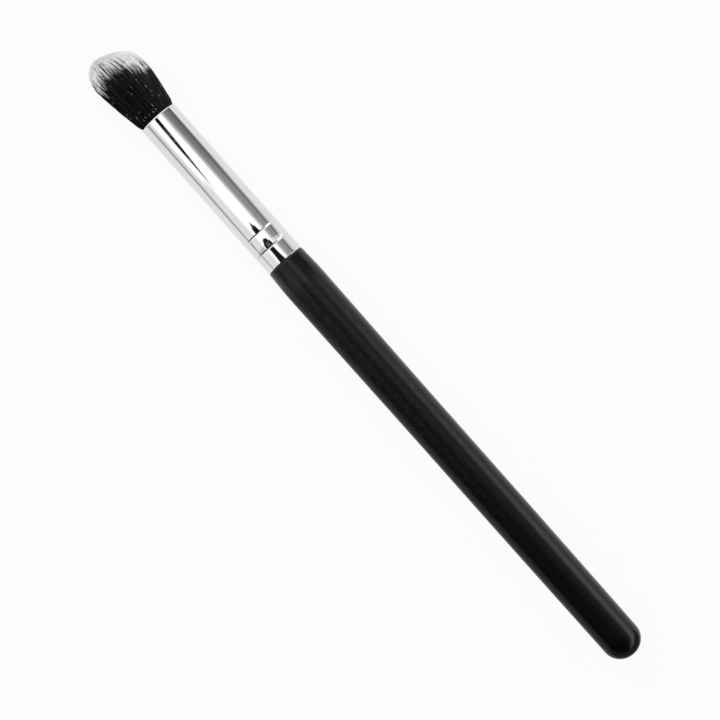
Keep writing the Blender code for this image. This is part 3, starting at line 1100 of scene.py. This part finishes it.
def dark_things(tree, lengthwise, side):
    """The camera's round hood with a glint of its lens, and the long wedge."""
    from_hood = (side - HOOD_SIDE).size()
    hood = 1 - tree.rise(from_hood - tree.profile(lengthwise, CAMERA_HOOD), *FLAG_EDGE)
    lens = (1 - tree.rise(lengthwise, *LENS["along"])) * (1 - tree.rise(from_hood, *LENS["away"]))
    hood = hood * (1 - (lengthwise > HOOD_FRONT)) * (1 - LENS["level"] * lens)
    grown = lengthwise - WEDGE["point"]
    centre = grown * WEDGE["turn"] + WEDGE["side"]
    half_width = (grown * WEDGE["growth"]).least(WEDGE["half_width"])
    wedge = 1 - tree.rise((side - centre).size() - half_width, *FLAG_EDGE)
    wedge = wedge * (lengthwise > WEDGE_START) * (1 - tree.rise(lengthwise, *WEDGE_END))
    return hood.most(wedge)


print("the hood is up to", 2 * max(half for _, half in CAMERA_HOOD), "degrees wide")

# %% [markdown]
# The lacquer is a much weaker mirror, so its lights have to be few and clear. The handle sees a
# nearly dark stretch of the room with a strip light low on one side, which draws the long sharp
# highlight, and a broad glow near the top, which grows towards the ferrule.

# %% Room that the handle mirrors
STRIP = [
    (-90, 0.3),
    (-78, 0.0),
    (15, 0.0),
    (39, 0.35),
    (48, 0.9),
    (56, 2.2),
    (72, 2.3),
    (80, 1.25),
    (88, 1.0),
]
GLOW = [(-62, 0.0), (-40, 0.10), (-18, 0.10), (6, 0.85), (26, 1.0), (44, 0.0)]
ALONG_HANDLE = (0.0, 0.075)
STRIP_FADE = 0.5
LEAST_GLOW = 0.06
MORE_GLOW = 0.6
HANDLE_LIGHT = 0.012
FAR_END = {"along": (-0.45, -0.25), "level": 0.03}


def handle_room(tree, lengthwise, side):
    """What the handle mirrors: a nearly dark stretch with a strip light and a soft glow."""
    up_handle = tree.rise(lengthwise, *ALONG_HANDLE)
    strip = tree.profile(side, STRIP) * (1 - STRIP_FADE * up_handle)
    glow = tree.profile(side, GLOW) * (LEAST_GLOW + MORE_GLOW * up_handle)
    room = (HANDLE_LIGHT + strip + glow) * (1 - tree.rise(lengthwise, *TUBE_BEGINS))
    return room.most(FAR_END["level"] * (1 - tree.rise(lengthwise, *FAR_END["along"])))


print("the strip light's highest level is", max(level for _, level in STRIP))

# %% [markdown]
# Now the two rooms are joined in the world's background. Only rays that bounced off something
# glossy see them. The camera itself sees plain white, and matt surfaces get an even light.

# %% Studio
PLAIN_LIGHT = 1.0


def studio_world():
    world = bpy.data.worlds.new("studio")
    bpy.context.scene.world = world
    tree = Tree(world, "ShaderNodeOutputWorld")
    direction = {0: tree.node("ShaderNodeTexCoord", output="Generated")}
    axes = [tree.node("ShaderNodeSeparateXYZ", None, direction, i) for i in range(3)]
    lengthwise, across, height = axes
    side = across.maths("ARCTAN2", -1 * across, height) * (180 / math.pi)
    mirrored = tube_room(tree, lengthwise, side, height) + handle_room(tree, lengthwise, side)
    seen = tree.is_ray("Camera").most(tree.is_ray("Transmission"))
    glossy = tree.is_ray("Glossy")
    strength = seen + (1 - seen) * (glossy * mirrored + (1 - glossy) * PLAIN_LIGHT)
    tree.finish(tree.node("ShaderNodeBackground", None, {"Color": WHITE, "Strength": strength}))


studio_world()
print("studio:", len(bpy.context.scene.world.node_tree.nodes), "nodes")

# %% [markdown]
# One square soft box hangs over the tuft's end. It is weak, because the even light of the room does
# most of the work. It is there for the hair: it gives the crown a light side, and it puts a soft
# shadow on the sheet. Mirrors don't show it, since the painted room has lights of its own.

# %% Lamp
LAMP_SIZE = 0.5
LAMP_PLACE = Vector((0.40, 0.02, 0.48))
LAMP_WATTS = 2.8
lamp = bpy.data.objects.new("soft_box", bpy.data.lights.new("soft_box", "AREA"))
bpy.context.scene.collection.objects.link(lamp)
lamp.data.shape = "SQUARE"
lamp.data.size = LAMP_SIZE
lamp.data.energy = LAMP_WATTS
lamp.location = LAMP_PLACE
lamp.rotation_euler = (-LAMP_PLACE).to_track_quat("-Z", "Y").to_euler()
lamp.visible_camera = False
lamp.visible_glossy = False
print(f"lamp: {LAMP_WATTS} watts from {LAMP_PLACE.length:.2f} m away")

# %% [markdown]
# The photograph looks down on the brush from almost straight above with a long lens. The camera is
# set up from three things that can be checked against it: the direction that it looks in, the
# direction in which the brush runs across the picture, and how many pixels a millimetre takes.

# %% Camera
IMAGE_PIXELS = 720
PIXELS_PER_MM = 4.748
SENSOR_MM = 36.0
VIEW_DISTANCE = 0.94
VIEW_LEAN = math.radians(4.4)
BRUSH_IN_PICTURE = Vector((-0.66358, 0.74811))
BUTT_PIXEL = (633.93, 653.84)


def make_camera():
    looking = Vector((math.sin(VIEW_LEAN), 0, -math.cos(VIEW_LEAN)))
    along = Vector(axis) - looking * looking.dot(Vector(axis))
    along.normalize()
    left = (-looking).cross(along)
    right = BRUSH_IN_PICTURE.x * along - BRUSH_IN_PICTURE.y * left
    up = BRUSH_IN_PICTURE.y * along + BRUSH_IN_PICTURE.x * left
    lens = bpy.data.cameras.new("camera")
    lens.sensor_width = SENSOR_MM
    lens.lens = PIXELS_PER_MM / MM * VIEW_DISTANCE / IMAGE_PIXELS * SENSOR_MM
    lens.clip_start = 0.01
    lens.clip_end = 20.0
    pixel = MM / PIXELS_PER_MM
    half = IMAGE_PIXELS / 2
    butt = Vector(axis_point)
    aim = butt - right * (BUTT_PIXEL[0] - half) * pixel - up * (half - BUTT_PIXEL[1]) * pixel
    camera = bpy.data.objects.new("camera", lens)
    turned = Matrix((right, up, -looking)).transposed().to_4x4()
    camera.matrix_world = Matrix.Translation(aim - looking * VIEW_DISTANCE) @ turned
    bpy.context.scene.collection.objects.link(camera)
    bpy.context.scene.camera = camera
    return camera


camera = make_camera()
bpy.context.scene.view_settings.view_transform = "Standard"
print(f"camera: {camera.data.lens:.1f} mm lens")
